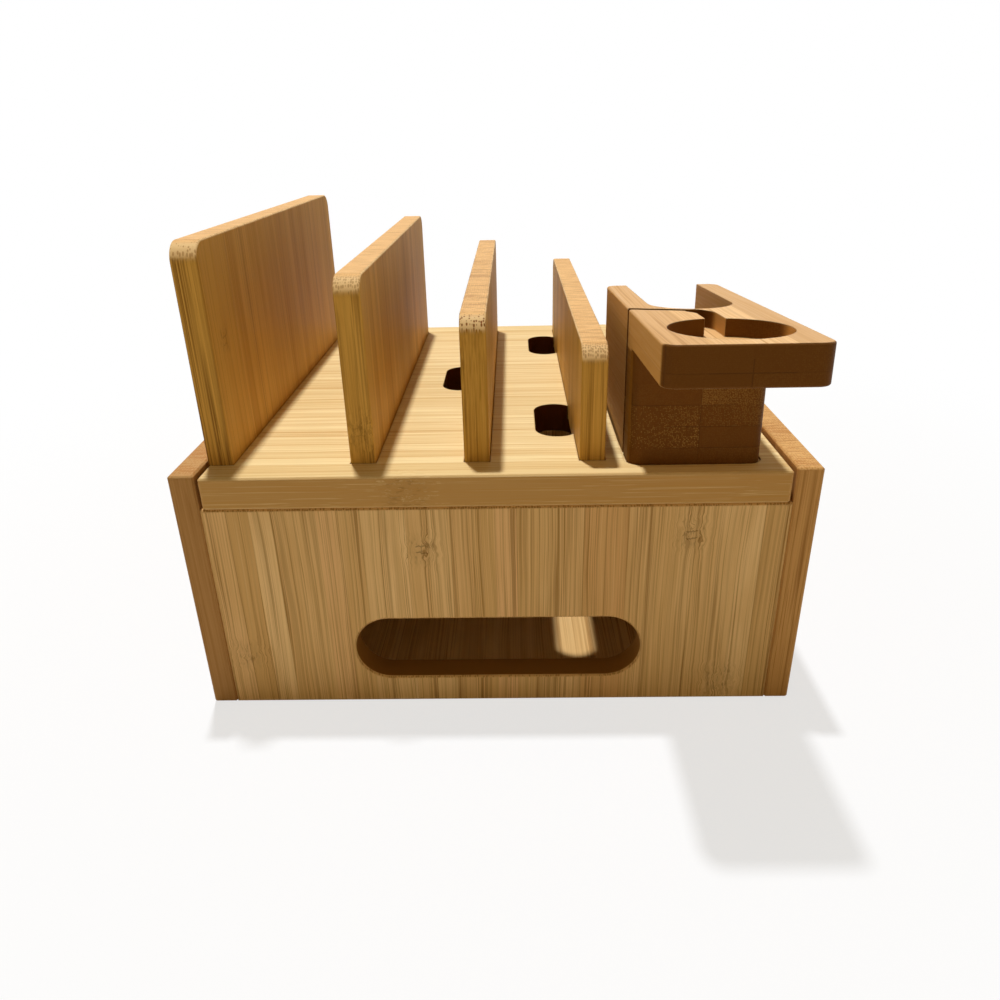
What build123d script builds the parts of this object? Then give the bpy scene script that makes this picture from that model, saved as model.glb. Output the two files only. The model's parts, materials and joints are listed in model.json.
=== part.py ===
"""Charging station organizer in bamboo.

A low box holds a charger and spare cable, a loose lid board closes it, four upright
dividers stand in grooves in the lid and a raised stand for a watch and earbuds sits in a
pocket at the lid's front right corner. Millimetres, +Z up, +X to the right, +Y to the back;
the origin is the centre of the box's bottom face.
"""

from build123d import *
import os
from math import cos, radians, sin

os.makedirs("parts", exist_ok=True)

# Box
box_width = 200.0
box_depth = 200.0
wall_height = 74.8
wall_thickness = 10.0
side_thickness = 8.0
side_above_lid = 1.0
floor_thickness = 5.0
floor_rebate = 4.0
edge_ease = 0.6

# Cable slots: a long one in the front wall and a short one in the rear wall
front_slot_length = 96.0
rear_slot_length = 36.0
slot_height = 23.4
slot_centre_height = 22.0

# Dowels in the corners of the box
dowel_diameter = 5.0
dowel_into_side = 5.5
dowel_into_wall = 15.5
dowel_edge_distance = 18.0
dowel_side_gap = 0.1
dowel_end_gap = 0.3

# Lid board and the battens under it
lid_thickness = 10.6
lid_side_gap = 1.0
lid_corner = 1.0
batten_length = 100.0
batten_width = 8.0
batten_height = 8.0
batten_gap = 0.5

# Dividers, with heights above the lid
divider_thickness = 8.0
divider_end_margin = 11.0
divider_corner = 6.0
tallest_height = 68.1
tall_height = 57.8
short_height = 46.0
shortest_height = 36.6
gap_tall_to_short = 28.1
gap_short_to_shortest = 28.4
gap_shortest_to_stand = 6.7
groove_depth = 5.0
groove_gap = 0.2

# Cable holes through the lid
cable_hole_width = 15.0
cable_hole_length = 34.8
cable_hole_pitch = 54.0
cable_hole_row = 3.9
cable_hole_under_divider = 1.9

# Stand for a watch and earbuds: its block leans back by stand_lean degrees
stand_width = 41.2
stand_height = 45.7
stand_lean = 3.6
stand_setback = 7.1
stand_side_margin = 8.1
stand_corner = 4.0
stand_seat_depth = 0.5
stand_pocket_gap = 0.7
block_depth = 73.2
plate_overhang = 47.5
plate_thickness = 10.6

# Recess, cable slot, kerf and notch in the stand, with bends in degrees
recess_diameter = 32.3
recess_depth = 5.1
recess_from_front = 22.4
recess_from_left = 21.1
cable_slot_width = 5.8
cable_slot_bend = 45.0
kerf_width = 2.7
kerf_bend = 74.5
kerf_bend_radius = 8.0
kerf_bend_start = 0.4
notch_width = 26.4
notch_front_web = 10.1
stand_hole_setback = 21.8

# How far a cut runs past the face that it leaves by
overrun = 1.0

# The box, worked out from the sizes above
wall_length = box_width - 2 * side_thickness
side_height = wall_height + lid_thickness + side_above_lid
floor_width = box_width - 2 * (side_thickness - floor_rebate)
floor_depth = box_depth - 2 * (wall_thickness - floor_rebate)
on_base = (Align.CENTER, Align.CENTER, Align.MIN)

# Dowel centres: two at each corner of the box, bored across the seam
dowel_x = wall_length / 2 + (dowel_into_side - dowel_into_wall) / 2
dowel_y = (box_depth - wall_thickness) / 2
dowel_length = dowel_into_side + dowel_into_wall
dowel_places = [
    (x, y, z)
    for x in (-dowel_x, dowel_x)
    for y in (-dowel_y, dowel_y)
    for z in (dowel_edge_distance, wall_height - dowel_edge_distance)
]

# The lid board, and the left faces of what stands on it, counted from its right edge
lid_width = wall_length - 2 * lid_side_gap
lid_top = wall_height + lid_thickness
divider_length = box_depth - 2 * divider_end_margin
stand_left = lid_width / 2 - stand_side_margin - stand_width
shortest_left = stand_left - gap_shortest_to_stand - divider_thickness
short_left = shortest_left - gap_short_to_shortest - divider_thickness
tall_left = short_left - gap_tall_to_short - divider_thickness
tallest_left = -lid_width / 2

# The stand's own frame: at the lid's top, on the block's front left corner, leaning back
stand_front = stand_setback - box_depth / 2
stand_up = (0, sin(radians(stand_lean)), cos(radians(stand_lean)))
stand_plane = Plane(origin=(stand_left, stand_front, lid_top), x_dir=(1, 0, 0), z_dir=stand_up)
stand_axis = Axis(stand_plane.origin, stand_up)
stand_base = stand_plane.offset(-stand_seat_depth)
stand_top = stand_plane.offset(stand_height)
block_centre = (stand_width / 2, block_depth / 2)

# Cable holes: each lies beside a divider and runs a little way under it, and one more
# lies under the stand's notch
hole_to_divider = cable_hole_width / 2 - cable_hole_under_divider
cable_hole_places = [
    (tall_left - hole_to_divider, cable_hole_row),
    (short_left - hole_to_divider, cable_hole_row),
    (shortest_left - hole_to_divider, cable_hole_row - cable_hole_pitch),
    (shortest_left - hole_to_divider, cable_hole_row + cable_hole_pitch),
    (stand_left + stand_width / 2, stand_front + stand_hole_setback),
]


def bore_for_dowels():
    """Cut the dowels' bores out of the panel that is being built."""
    with Locations(*dowel_places):
        Cylinder(
            dowel_diameter / 2 + dowel_side_gap,
            dowel_length + 2 * dowel_end_gap,
            rotation=(0, 90, 0),
            mode=Mode.SUBTRACT,
        )


def rebate_for_floor():
    """Cut the floor's own outline out of the panel that is being built."""
    Box(floor_width, floor_depth, floor_thickness, align=on_base, mode=Mode.SUBTRACT)


# Front and rear walls between the side panels, each with a round-ended cable slot low down
for name, outer_face, slot_length in (
    ("front_panel", Plane.front.offset(box_depth / 2), front_slot_length),
    ("rear_panel", Plane.back.offset(box_depth / 2), rear_slot_length),
):
    with BuildPart() as wall:
        with BuildSketch(outer_face) as wall_outline:
            with Locations((0, wall_height / 2)):
                Rectangle(wall_length, wall_height)
            with Locations((0, slot_centre_height)):
                SlotOverall(slot_length, slot_height, mode=Mode.SUBTRACT)
        extrude(amount=-wall_thickness)
        chamfer(wall.faces().sort_by(Axis.Y)[0].edges(), edge_ease)
        chamfer(wall.faces().sort_by(Axis.Y)[-1].edges(), edge_ease)
        rebate_for_floor()
        bore_for_dowels()
    wall.part.label = name
    export_step(wall.part, f"parts/{name}.step")

# Side panels, taller than the walls, so that the lid lies between them
with BuildPart() as right_side_panel:
    with BuildSketch(Plane.YZ.offset(wall_length / 2)) as side_outline:
        with Locations((0, side_height / 2)):
            Rectangle(box_depth, side_height)
    extrude(amount=side_thickness)
    chamfer(right_side_panel.edges(), edge_ease)
    rebate_for_floor()
    bore_for_dowels()
right_side_panel.part.label = "right_side_panel"
export_step(right_side_panel.part, "parts/right_side_panel.step")

with BuildPart() as left_side_panel:
    mirror(right_side_panel.part, about=Plane.YZ)
left_side_panel.part.label = "left_side_panel"
export_step(left_side_panel.part, "parts/left_side_panel.step")

# Floor in the rebate at the foot of all four panels, flush with their bottom edges
with BuildPart() as floor_panel:
    with BuildSketch(Plane.XY) as floor_outline:
        Rectangle(floor_width, floor_depth)
    extrude(amount=floor_thickness)
floor_panel.part.label = "floor_panel"
export_step(floor_panel.part, "parts/floor_panel.step")

# Glued dowels across the four corners
with BuildPart() as corner_dowels:
    with Locations(*dowel_places):
        Cylinder(dowel_diameter / 2, dowel_length, rotation=(0, 90, 0))
corner_dowels.part.label = "corner_dowels"
export_step(corner_dowels.part, "parts/corner_dowels.step")

# Lid board: cable holes right through, grooves for the dividers, and a pocket with its
# floor parallel to the stand's leaning base
with BuildPart() as lid_board:
    with BuildSketch(Plane.XY.offset(wall_height)) as lid_outline:
        RectangleRounded(lid_width, box_depth, lid_corner)
        with Locations(*cable_hole_places):
            SlotOverall(cable_hole_length, cable_hole_width, rotation=90, mode=Mode.SUBTRACT)
    extrude(amount=lid_thickness)
    chamfer(lid_board.faces().sort_by(Axis.Z)[-1].outer_wire().edges(), edge_ease)
    chamfer(lid_board.faces().sort_by(Axis.Z)[0].outer_wire().edges(), edge_ease)
    with BuildSketch(Plane.XY.offset(lid_top)) as groove_outlines:
        for left_face in (tallest_left, tall_left, short_left, shortest_left):
            with Locations((left_face + divider_thickness / 2, 0)):
                Rectangle(divider_thickness + 2 * groove_gap, divider_length + 2 * groove_gap)
    extrude(amount=-groove_depth, mode=Mode.SUBTRACT)
    with BuildSketch(stand_base) as pocket_outline:
        with Locations(block_centre):
            RectangleRounded(
                stand_width + 2 * stand_pocket_gap,
                block_depth + 2 * stand_pocket_gap,
                stand_corner + stand_pocket_gap,
            )
    extrude(amount=lid_thickness, mode=Mode.SUBTRACT)
lid_board.part.label = "lid_board"
export_step(lid_board.part, "parts/lid_board.step")

# Battens glued under the lid, just inside the front and rear walls, stop it sliding
with BuildPart() as rear_batten:
    with BuildSketch(Plane.XY.offset(wall_height)) as batten_outline:
        with Locations((0, box_depth / 2 - wall_thickness - batten_gap - batten_width / 2)):
            Rectangle(batten_length, batten_width)
    extrude(amount=-batten_height)
    chamfer(rear_batten.edges().group_by(Axis.Z)[0], edge_ease)
rear_batten.part.label = "rear_batten"
export_step(rear_batten.part, "parts/rear_batten.step")

with BuildPart() as front_batten:
    mirror(rear_batten.part, about=Plane.XZ)
front_batten.part.label = "front_batten"
export_step(front_batten.part, "parts/front_batten.step")

# Dividers: each board stands in its groove and has both top corners rounded
for name, left_face, height in (
    ("divider_tallest", tallest_left, tallest_height),
    ("divider_tall", tall_left, tall_height),
    ("divider_short", short_left, short_height),
    ("divider_shortest", shortest_left, shortest_height),
):
    with BuildPart() as divider:
        with BuildSketch(Plane.YZ.offset(left_face)) as divider_outline:
            with Locations((0, lid_top + (height - groove_depth) / 2)):
                Rectangle(divider_length, height + groove_depth)
            fillet(divider_outline.vertices().group_by(Axis.Y)[-1], divider_corner)
        extrude(amount=divider_thickness)
        fillet(divider.faces().sort_by(Axis.X)[0].edges(), edge_ease)
        fillet(divider.faces().sort_by(Axis.X)[-1].edges(), edge_ease)
    divider.part.label = name
    export_step(divider.part, f"parts/{name}.step")

# Stand: an overhanging plate on a block that leans back in the lid's pocket and ends
# halfway up inside the plate
with BuildPart() as device_stand:
    with BuildSketch(stand_plane.offset(stand_height - plate_thickness)) as plate_outline:
        with Locations((stand_width / 2, (block_depth - plate_overhang) / 2)):
            RectangleRounded(stand_width, block_depth + plate_overhang, stand_corner)
    extrude(amount=plate_thickness)
    fillet(device_stand.faces().sort_by(stand_axis)[0].edges(), edge_ease)
    with BuildSketch(stand_base) as block_outline:
        with Locations(block_centre):
            RectangleRounded(stand_width, block_depth, stand_corner)
    extrude(amount=stand_seat_depth + stand_height - plate_thickness / 2)
    fillet(device_stand.faces().sort_by(stand_axis)[-1].edges(), edge_ease)

    # Round recess for the watch's charging puck
    recess_centre = (recess_from_left, recess_from_front - plate_overhang)
    with BuildSketch(stand_top) as recess_outline:
        with Locations(recess_centre):
            Circle(recess_diameter / 2)
    extrude(amount=-recess_depth, mode=Mode.SUBTRACT)

    # Shallow slot for the puck's cable: straight back, then round the start of a bend
    with BuildSketch(stand_top) as slot_outline:
        with BuildLine() as slot_path:
            slot_run = Line(recess_centre, (recess_from_left, kerf_bend_start))
            slot_bend = JernArc(slot_run @ 1, slot_run % 1, kerf_bend_radius, cable_slot_bend)
        trace(line_width=cable_slot_width)
        with Locations(slot_bend @ 1):
            Circle(cable_slot_width / 2)
    extrude(amount=-recess_depth, mode=Mode.SUBTRACT)

    # Narrow kerf right through the block: the rest of the bend, then out of its left side
    through_block = stand_seat_depth + stand_height + overrun
    with BuildSketch(stand_top) as kerf_outline:
        with BuildLine() as kerf_path:
            kerf_turn = kerf_bend - cable_slot_bend
            kerf_arc = JernArc(slot_bend @ 1, slot_bend % 1, kerf_bend_radius, kerf_turn)
            PolarLine(kerf_arc @ 1, stand_width / 2, direction=kerf_arc % 1)
        trace(line_width=kerf_width)
    extrude(amount=-through_block, mode=Mode.SUBTRACT)

    # Notch for an earbud case: round at the front, open at the back, right through
    notch_centre = notch_front_web + notch_width / 2
    notch_end = block_depth + overrun
    with BuildSketch(stand_top) as notch_outline:
        with Locations((stand_width / 2, notch_centre)):
            Circle(notch_width / 2)
        with Locations((stand_width / 2, (notch_centre + notch_end) / 2)):
            Rectangle(notch_width, notch_end - notch_centre)
    extrude(amount=-through_block, mode=Mode.SUBTRACT)
device_stand.part.label = "device_stand"
export_step(device_stand.part, "parts/device_stand.step")
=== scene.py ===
# %% [markdown]
# This notebook dresses a bamboo charging station: a low box with a loose lid, four upright
# dividers in the lid's grooves and a raised stand for a watch and earbuds. The solids come
# from the imported frame and are right as they are, so the whole lesson is about one material
# and how to make it look cut from real boards. It starts by loading the frame.

# %% Load the frame
import json
from math import cos, degrees, radians, sin
from types import SimpleNamespace

import bpy
from mathutils import Matrix, Vector


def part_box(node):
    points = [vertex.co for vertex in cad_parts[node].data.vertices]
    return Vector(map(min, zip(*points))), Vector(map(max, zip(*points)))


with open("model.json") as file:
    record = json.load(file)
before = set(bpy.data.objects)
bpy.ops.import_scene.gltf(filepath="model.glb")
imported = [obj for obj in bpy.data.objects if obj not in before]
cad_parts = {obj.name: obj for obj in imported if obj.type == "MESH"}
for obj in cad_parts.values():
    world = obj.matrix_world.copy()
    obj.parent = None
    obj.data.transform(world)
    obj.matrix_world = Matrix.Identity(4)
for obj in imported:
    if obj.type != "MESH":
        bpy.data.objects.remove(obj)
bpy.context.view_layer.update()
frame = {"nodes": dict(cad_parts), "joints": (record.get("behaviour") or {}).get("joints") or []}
print("nodes:", ", ".join(sorted(frame["nodes"])))

# %% [markdown]
# Shader graphs get long, so a few small helpers keep them readable. The first adds a node
# and fills its inputs, with a plain value or with another node's output. The others are the
# handful of steps that a wood shader is made of: arithmetic, a soft step, and mixing colours.

# %% Helpers for shader graphs
MM = 1000.0
X, Y, Z = 0, 1, 2


def node(tree, kind, inputs=None, **settings):
    """Add one node. Each input is given a plain value, or is linked from a socket."""
    made = tree.nodes.new(kind)
    for name, value in settings.items():
        setattr(made, name, value)
    for name, value in (inputs or {}).items():
        if isinstance(value, bpy.types.NodeSocket):
            tree.links.new(value, made.inputs[name])
        else:
            made.inputs[name].default_value = value
    return made


def maths(tree, operation, *values):
    """The output of one Math node: operation applied to the values, in order."""
    return node(tree, "ShaderNodeMath", dict(enumerate(values)), operation=operation).outputs[0]


def times(tree, first, second):
    """The product of two values."""
    return maths(tree, "MULTIPLY", first, second)


def minus(tree, first, second):
    """The first value less the second."""
    return maths(tree, "SUBTRACT", first, second)


def absolute(tree, value):
    """The value without its sign."""
    return maths(tree, "ABSOLUTE", value)


def ramp(tree, value, low, high, start=0.0, end=1.0):
    """A smooth step: start where value is low or less, end where it is high or more."""
    made = node(
        tree,
        "ShaderNodeMapRange",
        {"Value": value, "From Min": low, "From Max": high, "To Min": start, "To Max": end},
        interpolation_type="SMOOTHSTEP",
    )
    return made.outputs["Result"]


def blend(tree, share, first, second):
    """Two colours mixed: the first where share is 0, the second where it is 1."""
    made = node(tree, "ShaderNodeMix", data_type="RGBA")
    for index, value in ((0, share), (6, first), (7, second)):
        if isinstance(value, bpy.types.NodeSocket):
            tree.links.new(value, made.inputs[index])
        else:
            made.inputs[index].default_value = value
    return made.outputs[2]


def vector(tree, x, y, z):
    """Three values as one vector."""
    return node(tree, "ShaderNodeCombineXYZ", {"X": x, "Y": y, "Z": z}).outputs[0]


def tone(red, green, blue):
    """A colour given as 0 to 255 values, turned into the linear values shaders use."""
    def linear(value):
        share = value / 255
        return share / 12.92 if share <= 0.04045 else ((share + 0.055) / 1.055) ** 2.4
    return (linear(red), linear(green), linear(blue), 1.0)


print("helpers ready: node, maths, times, minus, absolute, ramp, blend, vector, tone")

# %% [markdown]
# Bamboo board is glued up from long strips. If a pattern is worked out in three dimensions,
# in a space that follows the grain, one graph gives long streaks on the faces and dots on the
# sawn ends by itself. So the first step turns a place on the board into millimetres along the
# grain, across the strips and through the layers, and measures how far the surface faces
# along the grain, which tells faces from sawn ends.

# %% Place on a board, in the grain's own directions
def place_on_board(tree, along, across, through, lean, soft):
    """Object coordinates in millimetres, turned by the lean and named by grain direction."""
    coords = node(tree, "ShaderNodeTexCoord")
    turned = node(
        tree,
        "ShaderNodeMapping",
        {"Vector": coords.outputs["Object"], "Rotation": (lean, 0.0, 0.0), "Scale": (MM, MM, MM)},
    )
    normal = node(
        tree,
        "ShaderNodeMapping",
        {"Vector": coords.outputs["Normal"], "Rotation": (lean, 0.0, 0.0)},
        vector_type="NORMAL",
    )
    soft_normal = node(tree, "ShaderNodeBevel", {"Radius": soft / MM}, samples=4).outputs[0]
    soft_local = node(
        tree,
        "ShaderNodeVectorTransform",
        {0: soft_normal},
        vector_type="NORMAL",
        convert_from="WORLD",
        convert_to="OBJECT",
    )
    soft_turned = node(
        tree,
        "ShaderNodeMapping",
        {"Vector": soft_local.outputs[0], "Rotation": (lean, 0.0, 0.0)},
        vector_type="NORMAL",
    )
    soft_facing = node(tree, "ShaderNodeSeparateXYZ", {0: soft_turned.outputs[0]}).outputs
    place = node(tree, "ShaderNodeSeparateXYZ", {0: turned.outputs[0]}).outputs
    facing = node(tree, "ShaderNodeSeparateXYZ", {0: normal.outputs[0]}).outputs
    return SimpleNamespace(
        place=place, facing=facing, rounded=soft_normal,
        u=place[along], v=place[across], w=place[through],
        end=ramp(tree, absolute(tree, soft_facing[along]), 0.06, 0.4))


def noise(tree, place, detail=2.0, roughness=0.5):
    """Soft noise from 0 to 1 that changes over about one unit of place."""
    made = node(
        tree,
        "ShaderNodeTexNoise",
        {"Vector": place, "Scale": 1.0, "Detail": detail, "Roughness": roughness},
    )
    return made.outputs[0]


def stretched(tree, board, along, across, shift=0.0):
    """A place for a pattern: along and across are how many times it repeats in a millimetre."""
    return vector(tree, maths(tree, "MULTIPLY_ADD", board.u, along, shift),
                  times(tree, board.v, across), times(tree, board.w, across))


print("grain space ready")

# %% [markdown]
# Each strip comes from another cane, so it has a tone of its own. Random numbers that depend
# only on which strip it is, across and through, give every strip its tone, its own stretch of
# pattern and a glued joint that shows more or less.

# %% Strips
FURTHEST_SHIFT = 60.0


def cut_strips(tree, board, strip, layer, strip_at, layer_at, seed):
    """Number the strips, and give each its chances and the strength of the joint beside it."""
    across = maths(tree, "DIVIDE", minus(tree, board.v, strip_at), strip)
    through = maths(tree, "DIVIDE", minus(tree, board.w, layer_at), layer)
    strip_number = maths(tree, "FLOOR", across)
    layer_number = maths(tree, "FLOOR", through)
    chance = node(tree, "ShaderNodeTexWhiteNoise",
                  {"Vector": vector(tree, strip_number, layer_number, seed)}, noise_dimensions="3D")
    joint_chance = node(
        tree, "ShaderNodeTexWhiteNoise",
        {"Vector": vector(tree, maths(tree, "ROUND", across), maths(tree, "ROUND", through), seed)},
        noise_dimensions="3D")
    chances = node(tree, "ShaderNodeSeparateXYZ", {0: chance.outputs["Color"]}).outputs
    edge_across = times(tree, maths(tree, "PINGPONG", across, 0.5), strip)
    edge_through = times(tree, maths(tree, "PINGPONG", through, 0.5), layer)
    edge = maths(tree, "MINIMUM", edge_across, edge_through)
    board.tone, board.skin, board.knots = chances[0], chances[1], chances[2]
    board.strip_number, board.layer_number = strip_number, layer_number
    board.shift = times(tree, chance.outputs["Value"], FURTHEST_SHIFT)
    board.joint = times(tree, ramp(tree, edge, 0.05, 0.22, 1.0, 0.0),
                        ramp(tree, joint_chance.outputs["Value"], 0.2, 1.0, 0.1, 1.0))
    in_strip = minus(tree, across, strip_number)
    skin_side = maths(tree, "GREATER_THAN", board.skin, 0.5)
    board.to_skin = absolute(tree, minus(tree, in_strip, skin_side))


print("strips ready: tone, skin side, joints")

# %% [markdown]
# Where a leaf once grew, the cane has a knuckle. On a planed strip it is a pair of short lines
# across the grain, with the fibres broken into flecks around them and swerving past. There are
# few, so each is listed.

# %% Knuckles
LINE_FROM_MIDDLE = 1.2
RAGGEDNESS = 2.4
SWERVE = 6.0


def add_knuckles(tree, board, knuckles):
    """Mark knuckles and bend the grain round them.

    Each is (along, across, through, reach, strength of its lines), in millimetres.
    """
    ragged = noise(tree, stretched(tree, board, 0.1, 0.6), 2.0)
    flecks = ramp(tree, noise(tree, stretched(tree, board, 0.3, 1.1), 2.0), 0.52, 0.66)
    wobble = minus(tree, noise(tree, stretched(tree, board, 0.2, 0.3), 2.0), 0.5)
    board.knuckle, bend = 0.0, 0.0
    for at_u, at_v, at_w, reach, lined in knuckles:
        du = maths(tree, "MULTIPLY_ADD", minus(tree, ragged, 0.5), RAGGEDNESS, minus(tree, board.u, at_u))
        to_side = vector(tree, minus(tree, board.v, at_v), minus(tree, board.w, at_w), 0.0)
        aside = node(tree, "ShaderNodeVectorMath", {0: to_side}, operation="LENGTH").outputs["Value"]
        before_after = absolute(tree, du)
        off = absolute(tree, minus(tree, before_after, LINE_FROM_MIDDLE))
        lines = times(tree, ramp(tree, off, 0.1, 0.42, lined, 0.0),
                      ramp(tree, aside, reach * 0.4, reach * 0.6, 1.0, 0.0))
        zone = times(tree, ramp(tree, before_after, reach * 0.4, reach * 1.8, 1.0, 0.0),
                     ramp(tree, aside, reach * 0.6, reach * 1.2, 1.0, 0.0))
        broken = times(tree, zone, maths(tree, "MULTIPLY_ADD", flecks, 0.42, 0.1))
        mark = maths(tree, "MAXIMUM", lines, broken)
        board.knuckle = maths(tree, "MAXIMUM", board.knuckle, mark)
        swerve = times(tree, ramp(tree, before_after, 0.5, reach * 2.6, 1.0, 0.0),
                       ramp(tree, aside, reach * 0.6, reach * 2.4, 1.0, 0.0))
        bend = maths(tree, "MAXIMUM", bend, swerve)
    board.v = maths(tree, "MULTIPLY_ADD", times(tree, bend, wobble), SWERVE, board.v)


print("knuckles ready")

# %% [markdown]
# Fibres run in bundles that are crowded on the side that was the cane's skin. On a face they
# are thin dark streaks in clusters. Noise stretched 50 to 200 times along the grain gives them:
# finely for single fibres, wider for bands, and widest for the clusters that they come in. On
# a sawn end the same bundles are dots, which the cells of a Voronoi pattern give.

# %% Fibres
def grow_fibres(tree, board, dots_every):
    """Streaks for the faces, dots and lines for the sawn ends, each from 0 to 1."""
    fine = noise(tree, stretched(tree, board, 0.012, 2.3, board.shift), 3.0, 0.6)
    middle = noise(tree, stretched(tree, board, 0.008, 1.0, board.shift), 2.0, 0.5)
    cluster = noise(tree, stretched(tree, board, 0.006, 0.3, board.shift), 2.0, 0.5)
    board.cloud = noise(tree, stretched(tree, board, 0.02, 0.11, board.shift), 3.0, 0.55)
    crowd = times(tree, ramp(tree, board.to_skin, 0.1, 0.9, 0.5, 1.0),
                  ramp(tree, cluster, 0.36, 0.6, 0.35, 1.0))
    board.fine = fine
    board.streak = times(tree, ramp(tree, fine, 0.48, 0.64), crowd)
    board.light = ramp(tree, fine, 0.3, 0.45, 1.0, 0.0)
    board.band = times(tree, ramp(tree, middle, 0.48, 0.64), crowd)
    cells = node(
        tree,
        "ShaderNodeTexVoronoi",
        {"Vector": stretched(tree, board, 0.02, 1.0 / dots_every, board.shift), "Scale": 1.0,
         "Randomness": 0.5},
    ).outputs["Distance"]
    size = ramp(tree, board.to_skin, 0.0, 1.0, 0.34, 0.44)
    board.dot = ramp(tree, minus(tree, cells, size), -0.08, 0.12, 1.0, 0.0)
    rows = noise(tree, vector(tree, times(tree, board.v, 1.3),
                              times(tree, board.w, 0.1), board.shift), 2.0)
    board.row = ramp(tree, rows, 0.46, 0.62)


print("fibres ready: streaks, bands, dots, rows")

# %% [markdown]
# A router burns bamboo, and the walls of its slots and holes lie in shade, so their colour is
# darkened for both: router burn and painted shade. The same boxes paint shade into seams and
# under overhangs. Walls are told from the board's own faces by where they are and which way
# they face, so a box round each group and the board's normal are enough.

# %% Darkened walls: router burn and painted shade
def burn_and_painted_shade(tree, board, low, high, face):
    """1 on walls inside the box from low to high that don't face along the board's normal."""
    inside = 1.0
    for axis in (X, Y, Z):
        middle, half = (low[axis] + high[axis]) / 2, (high[axis] - low[axis]) / 2
        off = absolute(tree, minus(tree, board.place[axis], middle))
        inside = times(tree, inside, ramp(tree, off, half - 0.2, half + 0.2, 1.0, 0.0))
    wall = ramp(tree, absolute(tree, board.facing[face]), 0.25, 0.6, 1.0, 0.0)
    return times(tree, inside, wall)


print("routed walls ready")

# %% [markdown]
# The finish is laid up like paint, from the ground to the marks. On a face the ground is the
# strip's tone with a slow cloud over it. Pale and dark fibres follow, and knuckles come last.
# Each mark has a share: how much of its colour it lays over what is below.

# %% Colour of the faces
CLOUD_SHARE = 0.45
PALE_FIBRE_SHARE = 0.45
BAND_SHARE = 0.6
STREAK_SHARE = 0.75
KNUCKLE_SHARE = 0.8
BLUSH_TONE = tone(214, 152, 96)


def darker(colour, share):
    """A colour brought down to a share of its light."""
    return tuple(share * c for c in colour[:3]) + (1.0,)


def face_colour(tree, board, across, pale, deep, fibre, streaks, blush, face_tone):
    """The colour of everything but the sawn ends, laid on from the ground to the marks."""
    on_edge = ramp(tree, absolute(tree, board.facing[across]), 0.4, 0.8)
    show = ramp(tree, on_edge, 0.0, 1.0, *streaks)
    colour = blend(tree, board.tone, pale, deep)
    if blush:
        colour = blend(tree, ramp(tree, board.knots, 0.55, 1.0, 0.0, blush), colour, BLUSH_TONE)
    colour = blend(tree, ramp(tree, board.cloud, 0.4, 0.66, 0.0, CLOUD_SHARE), colour, deep)
    if face_tone:
        axis, share, stain = face_tone
        on_face = ramp(tree, absolute(tree, board.facing[axis]), 0.5, 0.9, 0.0, share)
        colour = blend(tree, on_face, colour, stain)
    for mark, share, mark_tone in (
        (board.light, PALE_FIBRE_SHARE, pale),
        (board.band, BAND_SHARE, fibre),
        (board.streak, STREAK_SHARE, fibre),
    ):
        colour = blend(tree, times(tree, mark, times(tree, show, share)), colour, mark_tone)
    return blend(tree, times(tree, board.knuckle, KNUCKLE_SHARE), colour, darker(fibre, 0.4))


print("face colour ready")

# %% [markdown]
# A sawn end shows the bundles end on, as dots, and a flat one also shows the strips' own rows.
# Where a block is glued from layers, each layer has more or fewer dots than the next, so a
# stepped ramp turns the layer's number into its share.

# %% Colour of the sawn ends
def layer_shares(tree, layer_number, first, shares):
    """One share for each layer, bottom first from the layer numbered first: a stepped ramp."""
    place = maths(tree, "DIVIDE", minus(tree, layer_number, first - 0.5), len(shares))
    made = node(tree, "ShaderNodeValToRGB", {"Fac": place})
    made.color_ramp.interpolation = "CONSTANT"
    stops = made.color_ramp.elements
    while len(stops) < len(shares):
        stops.new(1.0)
    for index, share in enumerate(shares):
        stops[index].position = index / len(shares)
        stops[index].color = (share, share, share, 1.0)
    return made.outputs["Color"]


def end_colour(tree, board, along, end, end_flat, end_dot, end_dots, flat_dots, end_rows, layered):
    """The colour of the sawn ends: their ground, then dots, then rows on the flat ones."""
    ground = blend(tree, times(tree, board.tone, 0.4), end, darker(end, 0.72))
    flat = ramp(tree, absolute(tree, board.facing[along]), 0.8, 0.99)
    ground = blend(tree, flat, ground, end_flat)
    dots = times(tree, board.dot, ramp(tree, flat, 0.0, 1.0, end_dots, end_dots * flat_dots))
    if layered:
        first, left, right = layered
        on_right = maths(tree, "GREATER_THAN", board.strip_number, -0.5)
        left_shares = layer_shares(tree, board.layer_number, first, left)
        right_shares = layer_shares(tree, board.layer_number, first, right)
        dots = times(tree, dots, blend(tree, on_right, left_shares, right_shares))
    dotted = blend(tree, dots, ground, end_dot)
    return blend(tree, times(tree, board.row, times(tree, flat, end_rows)), dotted, end_dot)


print("end colour ready")

# %% [markdown]
# Glued joints go over both, then router burn and painted shade on walls that lie in shade. A thin
# oil film makes the wood satin, and a bevel in the shading rounds every edge a little more than the
# solid does. The rim of each edge is painted paler: a painted highlight, and the paleness of sanding.

# %% The bamboo material
JOINT_SHARE = 0.55
RIM_HIGHLIGHT_SHARE = 0.3
DRIFT = 4.0
SOFT_EDGE = 0.6
GLOSS = 0.5
RELIEF_METRES = 0.00012


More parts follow.
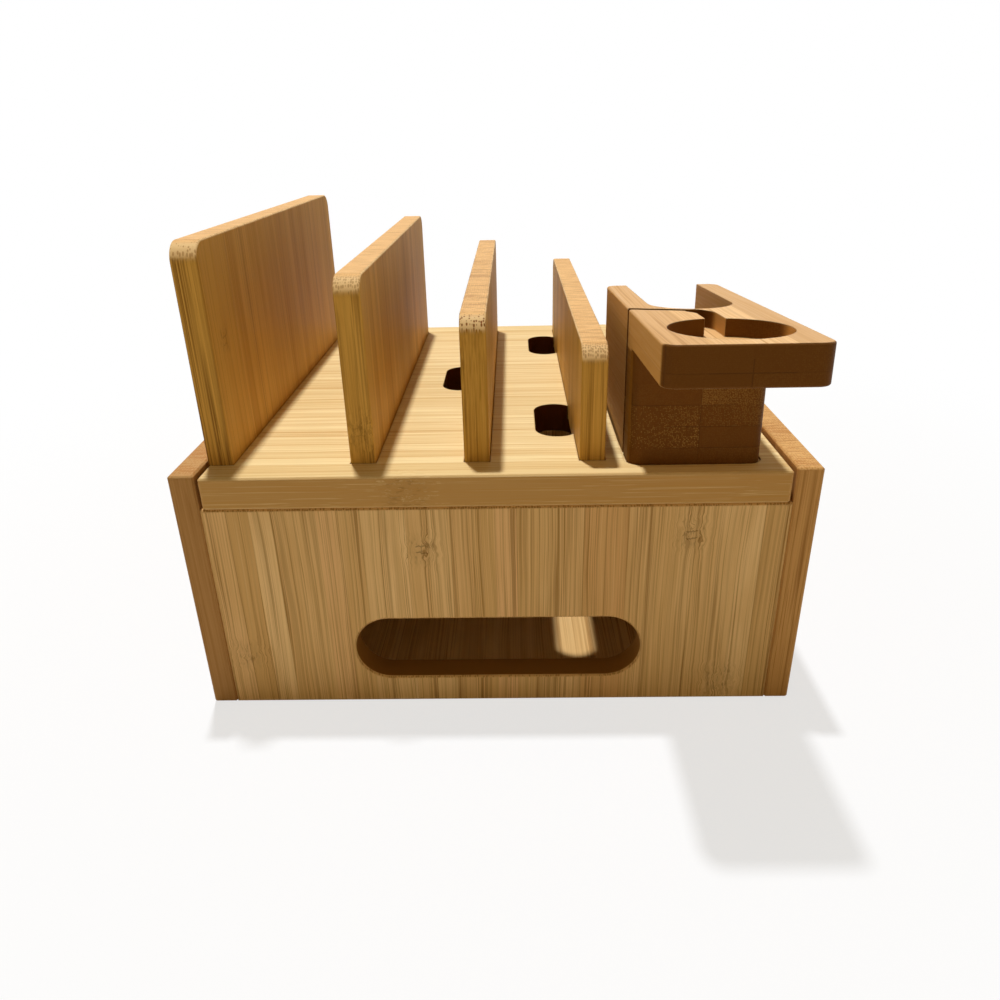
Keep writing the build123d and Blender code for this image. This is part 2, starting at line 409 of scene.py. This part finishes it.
def bamboo(name, grain, strip, layer, pale, deep, fibre, seed, strip_at=0.0, layer_at=0.0,
           streaks=(1.0, 1.0), blush=0.0, end=None, end_flat=None, end_dot=None, end_dots=0.6,
           flat_dots=1.0, end_rows=0.0, dots_every=0.8, layered=None, lean=0.0, knuckles=(), burn_and_shade_boxes=(),
           face_tone=None):
    """A board of strips, strip by layer millimetres in section, with the grain along one axis.

    pale and deep are the lightest and darkest strip and fibre is the bundles' colour. streaks is
    how strongly fibres show on the faces through the board and on its edges. end and end_dot
    are the ground and the dots on sawn ends; end_flat and flat_dots are for those that are flat.
    layered is (number of the lowest layer, each layer's dots on the left, and on the right).
    burn_and_shade_boxes are (low, high, face, colour) boxes round walls whose colour is darkened, for
    router burn and as painted shade. face_tone is (axis, share, colour), a stain on one axis' faces.
    """
    material = bpy.data.materials.new(name)
    material.use_nodes = True
    tree = material.node_tree
    shader = tree.nodes["Principled BSDF"]
    board = place_on_board(tree, *grain, lean, SOFT_EDGE)
    cut_strips(tree, board, strip, layer, strip_at, layer_at, seed)
    drift = noise(tree, stretched(tree, board, 0.011, 0.03, seed))
    board.v = maths(tree, "MULTIPLY_ADD", minus(tree, drift, 0.5), DRIFT, board.v)
    add_knuckles(tree, board, knuckles)
    grow_fibres(tree, board, dots_every)

    end = end or pale
    face = face_colour(tree, board, grain[1], pale, deep, fibre, streaks, blush, face_tone)
    sawn = end_colour(tree, board, grain[0], end, end_flat or end, end_dot or fibre,
                      end_dots, flat_dots, end_rows, layered)
    colour = blend(tree, board.end, face, sawn)
    glue = blend(tree, board.end, fibre, darker(end, 0.5))
    colour = blend(tree, times(tree, board.joint, JOINT_SHARE), colour, glue)
    # Router burn, and painted shade on walls that lie in shade, laid over the colour box by box.
    for low, high, cut_face, burn_and_shade_tone in burn_and_shade_boxes:
        colour = blend(tree, burn_and_painted_shade(tree, board, low, high, cut_face), colour, burn_and_shade_tone)

    # Painted highlight: the rim of every edge, where the bevel turns the normal, is painted paler, along
    # with the paleness of sanding.
    square = node(tree, "ShaderNodeNewGeometry").outputs["Normal"]
    turn = node(tree, "ShaderNodeVectorMath", {0: board.rounded, 1: square}, operation="DOT_PRODUCT")
    sanded_rim_and_highlight = ramp(tree, turn.outputs["Value"], 0.8, 0.99, RIM_HIGHLIGHT_SHARE, 0.0)
    tree.links.new(blend(tree, sanded_rim_and_highlight, colour, pale), shader.inputs["Base Color"])

    satin = ramp(tree, board.fine, 0.3, 0.7, GLOSS - 0.05, GLOSS + 0.1)
    tree.links.new(satin, shader.inputs["Roughness"])
    shader.inputs["Specular IOR Level"].default_value = 0.07
    sunk = maths(tree, "MULTIPLY_ADD", board.joint, -0.6, times(tree, board.knuckle, -0.8))
    relief = maths(tree, "ADD", times(tree, board.fine, 0.5), sunk)
    bump = node(tree, "ShaderNodeBump", {"Height": relief, "Strength": 0.4,
                                         "Distance": RELIEF_METRES, "Normal": board.rounded})
    tree.links.new(bump.outputs[0], shader.inputs["Normal"])
    print(f"{name}: {len(tree.nodes)} shader nodes")
    return material


def dress(nodes, material):
    """Give CAD nodes their finish, in every material slot that they have."""
    for name in nodes:
        thing = frame["nodes"][name]
        if not thing.material_slots:
            thing.data.materials.append(material)
        for place in thing.material_slots:
            place.material = material
    print(material.name, "on", ", ".join(nodes))


# %% [markdown]
# The lid is glued up on edge: its top shows narrow strips side by side, and its front edge is
# the wide face of a single strip, which is browner and has a knuckle. It is the palest board.
# One box darkens the walls that the router cut, for burn and as painted shade, and another paints
# shade along the foot of the outer edge, in the seam where the lid meets the wall.

# %% Lid
def corners(name):
    """A node's lowest and highest corner, in millimetres."""
    return [[MM * c for c in corner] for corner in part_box(name)]


PAST_FACE = 1.2
SEAM_SHADE_HEIGHT = 0.5
lid_low, lid_high = corners("lid_board")
lid_burn_and_shade_box = ([lid_low[X] + PAST_FACE, lid_low[Y] + PAST_FACE, lid_low[Z] - PAST_FACE],
              [lid_high[X] - PAST_FACE, lid_high[Y] - PAST_FACE, lid_high[Z] + PAST_FACE])
lid_seam_painted_shade = ([corner - PAST_FACE for corner in lid_low],
            [lid_high[X] + PAST_FACE, lid_high[Y] + PAST_FACE, lid_low[Z] + SEAM_SHADE_HEIGHT])
dress(["lid_board"], bamboo(
    "lid bamboo", (X, Y, Z), strip=5.6, layer=24.0, layer_at=70.0,
    pale=tone(241, 223, 174), deep=tone(225, 200, 147), fibre=tone(192, 146, 80),
    seed=3.0, streaks=(0.8, 0.9), end=tone(216, 176, 118),
    knuckles=[(-27.0, -99.0, 79.6, 5.5, 0.15)], face_tone=(Y, 0.75, tone(178, 132, 66)),
    # The first box is router burn and painted shade on the lid's inner walls; the second is painted shade
    # in the seam at the lid's foot.
    burn_and_shade_boxes=[(*lid_burn_and_shade_box, Z, tone(90, 50, 18)), (*lid_seam_painted_shade, Z, tone(70, 34, 10))]))

# %% [markdown]
# The front and rear walls are glued up the same way and stood up, so their strips run from
# bottom to top. The front has four knuckles, two of them faint. The rear wall is a guess at a
# side that isn't seen, with two knuckles of its own.

# %% Front and rear walls
slot_low, slot_high = 8.0, 36.0
slot_side = 50.0
for seed, name, knuckles in (
    (7.0, "front_panel", [(60.0, -23.0, -100.0, 4.0, 0.7), (64.2, 62.0, -100.0, 4.2, 0.7),
                          (7.6, 76.0, -100.0, 5.0, 0.1), (20.0, -85.0, -100.0, 4.0, 0.1)]),
    (8.0, "rear_panel", [(44.0, -52.0, 100.0, 4.0, 0.7), (22.0, 61.0, 100.0, 3.6, 0.5)]),
):
    low, high = corners(name)
    dress([name], bamboo(
        name.replace("_", " ") + " bamboo", (Z, X, Y), strip=7.0, layer=24.0, layer_at=low[Y] - 2.0,
        pale=tone(240, 210, 158), deep=tone(212, 176, 118), fibre=tone(136, 98, 42),
        seed=seed, streaks=(1.0, 0.5), blush=0.3, end=tone(214, 172, 112), knuckles=knuckles,
        # Router burn and painted shade on the slot's walls.
        burn_and_shade_boxes=[([-slot_side, low[Y] - PAST_FACE, slot_low],
               [slot_side, high[Y] + PAST_FACE, slot_high], Y, tone(150, 104, 46))]))

# %% [markdown]
# The side panels and the dividers are sawn from boards whose strips stand upright, so their
# faces are calm, their narrow front edges show the fibres as fine lines, and their top edges
# are sawn ends full of dots.

# %% Side panels
for seed, name, pale, deep in (
    (11.0, "left_side_panel", tone(190, 150, 98), tone(172, 132, 82)),
    (12.0, "right_side_panel", tone(212, 170, 110), tone(192, 146, 88)),
):
    low = corners(name)[0]
    dress([name], bamboo(
        name.replace("_", " ") + " bamboo", (Z, Y, X), strip=7.0, layer=24.0, layer_at=low[X] - 8.0,
        pale=pale, deep=deep, fibre=tone(136, 88, 34), seed=seed, streaks=(0.5, 0.9),
        end=pale, end_dot=tone(166, 108, 50), end_dots=0.5, end_rows=0.5))

# %% [markdown]
# The dividers differ only in how many dots their sawn edges show and how dark they are. The
# two tallest have a knuckle each, close to the front.

# %% Dividers
for seed, (name, dots, dot) in enumerate((
        ("divider_tallest", 0.55, tone(160, 108, 50)), ("divider_tall", 0.5, tone(160, 108, 50)),
        ("divider_short", 0.95, tone(130, 76, 28)), ("divider_shortest", 0.55, tone(150, 100, 46)))):
    low, high = corners(name)
    knuckles = {"divider_tallest": [(122.8, -77.7, high[X], 3.5, 0.4)],
                "divider_tall": [(96.0, low[Y], low[X] + 4.0, 3.5, 0.3)]}.get(name, [])
    dress([name], bamboo(
        name.replace("_", " ") + " bamboo", (Z, Y, X), strip=7.0, layer=24.0, layer_at=low[X] - 8.0,
        pale=tone(218, 174, 90), deep=tone(198, 152, 68), fibre=tone(124, 84, 26),
        seed=17.0 + seed * 5.0, streaks=(0.45, 1.2), end=tone(240, 208, 154), end_dot=dot,
        end_flat=tone(228, 186, 128), end_dots=dots, flat_dots=0.35, end_rows=0.4, dots_every=0.72,
        knuckles=knuckles))

# %% [markdown]
# The stand is a block of flat layers glued on top of each other with the grain running front
# to back, so its front shows nothing but sawn ends, and they are much darker than its faces.
# The layers lean with the stand, so its pattern is turned by the same angle. The narrow strip
# of the left side in front of the kerf, under the plate, gets painted shade.

# %% Stand
lift = next(joint for joint in frame["joints"] if joint["name"] == "stand_lift")
stand_lean = Vector(lift["axis"]).angle(Vector((0, 0, 1)))
print("the stand leans back by", round(degrees(stand_lean), 2), "degrees")
glue_line_x = 63.0
lowest_layer_z = 84.5
left_face_x = corners("device_stand")[0][X]
# Painted shade on the strip of the left side in front of the kerf, which lies under the plate.
before_kerf_painted_shade = ([left_face_x - 1.0, -99.5, 70.0], [left_face_x + 0.5, -87.0, 114.0])
left_dots = (0.15, 1.0, 0.75, 0.1, 0.05, 0.05, 0.05)
right_dots = (0.2, 0.1, 0.45, 0.7, 0.1, 0.1, 0.1)
dress(["device_stand"], bamboo(
    "stand bamboo", (Y, X, Z), strip=20.6, layer=6.75, strip_at=glue_line_x,
    layer_at=lowest_layer_z, pale=tone(242, 206, 154), deep=tone(224, 182, 126),
    fibre=tone(160, 112, 62), seed=29.0, streaks=(0.6, 0.25), end=tone(106, 66, 20),
    end_dot=tone(152, 116, 60), end_dots=0.85, dots_every=0.5,
    layered=(-1, left_dots, right_dots), face_tone=(X, 0.7, tone(180, 128, 48)), lean=stand_lean,
    burn_and_shade_boxes=[(*before_kerf_painted_shade, Z, tone(128, 86, 30))]))

# %% [markdown]
# Inside the box the floor's grain runs front to back. The battens and dowels are plain.

# %% Floor, battens and dowels
dress(["floor_panel"], bamboo(
    "floor bamboo", (Y, X, Z), strip=7.0, layer=24.0, layer_at=-10.0,
    pale=tone(238, 204, 146), deep=tone(220, 180, 120), fibre=tone(176, 128, 70), seed=41.0))
dress(["front_batten", "rear_batten"], bamboo(
    "batten bamboo", (X, Y, Z), strip=8.5, layer=24.0,
    pale=tone(218, 178, 116), deep=tone(196, 150, 90), fibre=tone(150, 104, 52), seed=47.0))
dress(["corner_dowels"], bamboo(
    "dowel bamboo", (X, Y, Z), strip=24.0, layer=24.0,
    pale=tone(226, 196, 146), deep=tone(206, 170, 116), fibre=tone(170, 126, 74), seed=53.0))

# %% [markdown]
# The object stands on a plain pale floor, which throws warm light up onto its front. Rays
# that show the background see a cooler paper, which fades into pure white away from the
# object.

# %% Floor and background
def seen_rays(tree):
    """1 for rays that show the background: straight to the camera, in a gloss or through glass."""
    rays = node(tree, "ShaderNodeLightPath").outputs
    mirrored = maths(tree, "MAXIMUM", rays["Is Glossy Ray"], rays["Is Transmission Ray"])
    return maths(tree, "MAXIMUM", rays["Is Camera Ray"], mirrored)


FLOOR_REACH = 6.0
FADE_FROM, FADE_TO = 0.16, 0.45
BOUNCE_COLOUR = (0.78, 0.72, 0.62, 1.0)
PAPER_COLOUR = (0.86, 0.91, 1.0, 1.0)
floor_mesh = bpy.data.meshes.new("floor")
floor_corners = [(x * FLOOR_REACH, y * FLOOR_REACH, 0) for x, y in ((-1, -1), (1, -1), (1, 1), (-1, 1))]
floor_mesh.from_pydata(floor_corners, [], [(0, 1, 2, 3)])
floor = bpy.data.objects.new("floor", floor_mesh)
bpy.context.scene.collection.objects.link(floor)
paper = bpy.data.materials.new("paper")
paper.use_nodes = True
tree = paper.node_tree
tree.nodes.clear()
seen = seen_rays(tree)
grey = blend(tree, seen, BOUNCE_COLOUR, PAPER_COLOUR)
matt = node(tree, "ShaderNodeBsdfDiffuse", {"Color": grey}).outputs[0]
white = node(tree, "ShaderNodeEmission", {"Color": (1, 1, 1, 1), "Strength": 1.0}).outputs[0]
place = node(tree, "ShaderNodeTexCoord").outputs["Object"]
distance = node(tree, "ShaderNodeVectorMath", {0: place}, operation="LENGTH").outputs["Value"]
far = ramp(tree, distance, FADE_FROM, FADE_TO, 0.7, 1.0)
mix = node(tree, "ShaderNodeMixShader", {0: times(tree, far, seen), 1: matt, 2: white})
out = node(tree, "ShaderNodeOutputMaterial")
tree.links.new(mix.outputs[0], out.inputs[0])
floor_mesh.materials.append(paper)

# %% [markdown]
# The room adds a weak warm light all round, and a little over half as much from above as from
# the sides, so that slots and gaps stay dark. Rays that show the background see plain white.

# %% Room light
ROOM_COLOUR = (1.0, 0.74, 0.38, 1.0)
LIGHT_FROM_SIDES, LIGHT_FROM_ABOVE = 0.4, 0.24
world = bpy.data.worlds.new("studio")
world.use_nodes = True
bpy.context.scene.world = world
tree = world.node_tree
tree.nodes.clear()
way = node(tree, "ShaderNodeTexCoord").outputs["Generated"]
height = node(tree, "ShaderNodeSeparateXYZ", {0: way}).outputs[2]
strength = ramp(tree, height, 0.0, 0.6, LIGHT_FROM_SIDES, LIGHT_FROM_ABOVE)
room = node(tree, "ShaderNodeBackground", {"Color": ROOM_COLOUR, "Strength": strength}).outputs[0]
backdrop = node(tree, "ShaderNodeBackground", {"Color": (1, 1, 1, 1), "Strength": 1.0}).outputs[0]
mix = node(tree, "ShaderNodeMixShader", {0: seen_rays(tree), 1: room, 2: backdrop})
out = node(tree, "ShaderNodeOutputWorld")
tree.links.new(mix.outputs[0], out.inputs[0])
print("floor, background and room light ready")

# %% [markdown]
# One lamp does the work. It hangs high, behind the object and a little to its left, so the
# shadows fall forwards and to the right, and it is small enough to give them an edge.

# %% Key lamp
lamp = bpy.data.lights.new("key", "POINT")
lamp.energy = 174.0
lamp.shadow_soft_size = 0.055
lamp.color = (1.0, 0.975, 0.94)
key = bpy.data.objects.new("key", lamp)
key.location = (-0.198, 0.37, 2.2)
bpy.context.scene.collection.objects.link(key)
print("key lamp at", tuple(round(c, 3) for c in key.location))

# %% [markdown]
# The camera stands close, looks down at the front, and is turned a touch to the left and
# rolled a touch clockwise, as a hand-held camera is.

# %% Camera
CAMERA_PLACE = (0.0065, -0.3187, 0.1803)
YAW, PITCH, ROLL = radians(-1.218), radians(25.255), radians(-1.264)
LENS = 28.282
forward = Vector((sin(YAW) * cos(PITCH), cos(YAW) * cos(PITCH), -sin(PITCH)))
level = Vector((cos(YAW), -sin(YAW), 0))
upright = level.cross(forward)
right = cos(ROLL) * level + sin(ROLL) * upright
up = -sin(ROLL) * level + cos(ROLL) * upright
camera_data = bpy.data.cameras.new("camera")
camera_data.sensor_width = 36.0
camera_data.lens = LENS
camera_data.clip_start = 0.01
camera = bpy.data.objects.new("camera", camera_data)
camera.matrix_world = (
    Matrix.Translation(CAMERA_PLACE)
    @ Matrix((right, up, -forward)).transposed().to_4x4())
bpy.context.scene.collection.objects.link(camera)
bpy.context.scene.camera = camera
bpy.context.scene.view_settings.view_transform = "Standard"
print("camera at", CAMERA_PLACE)
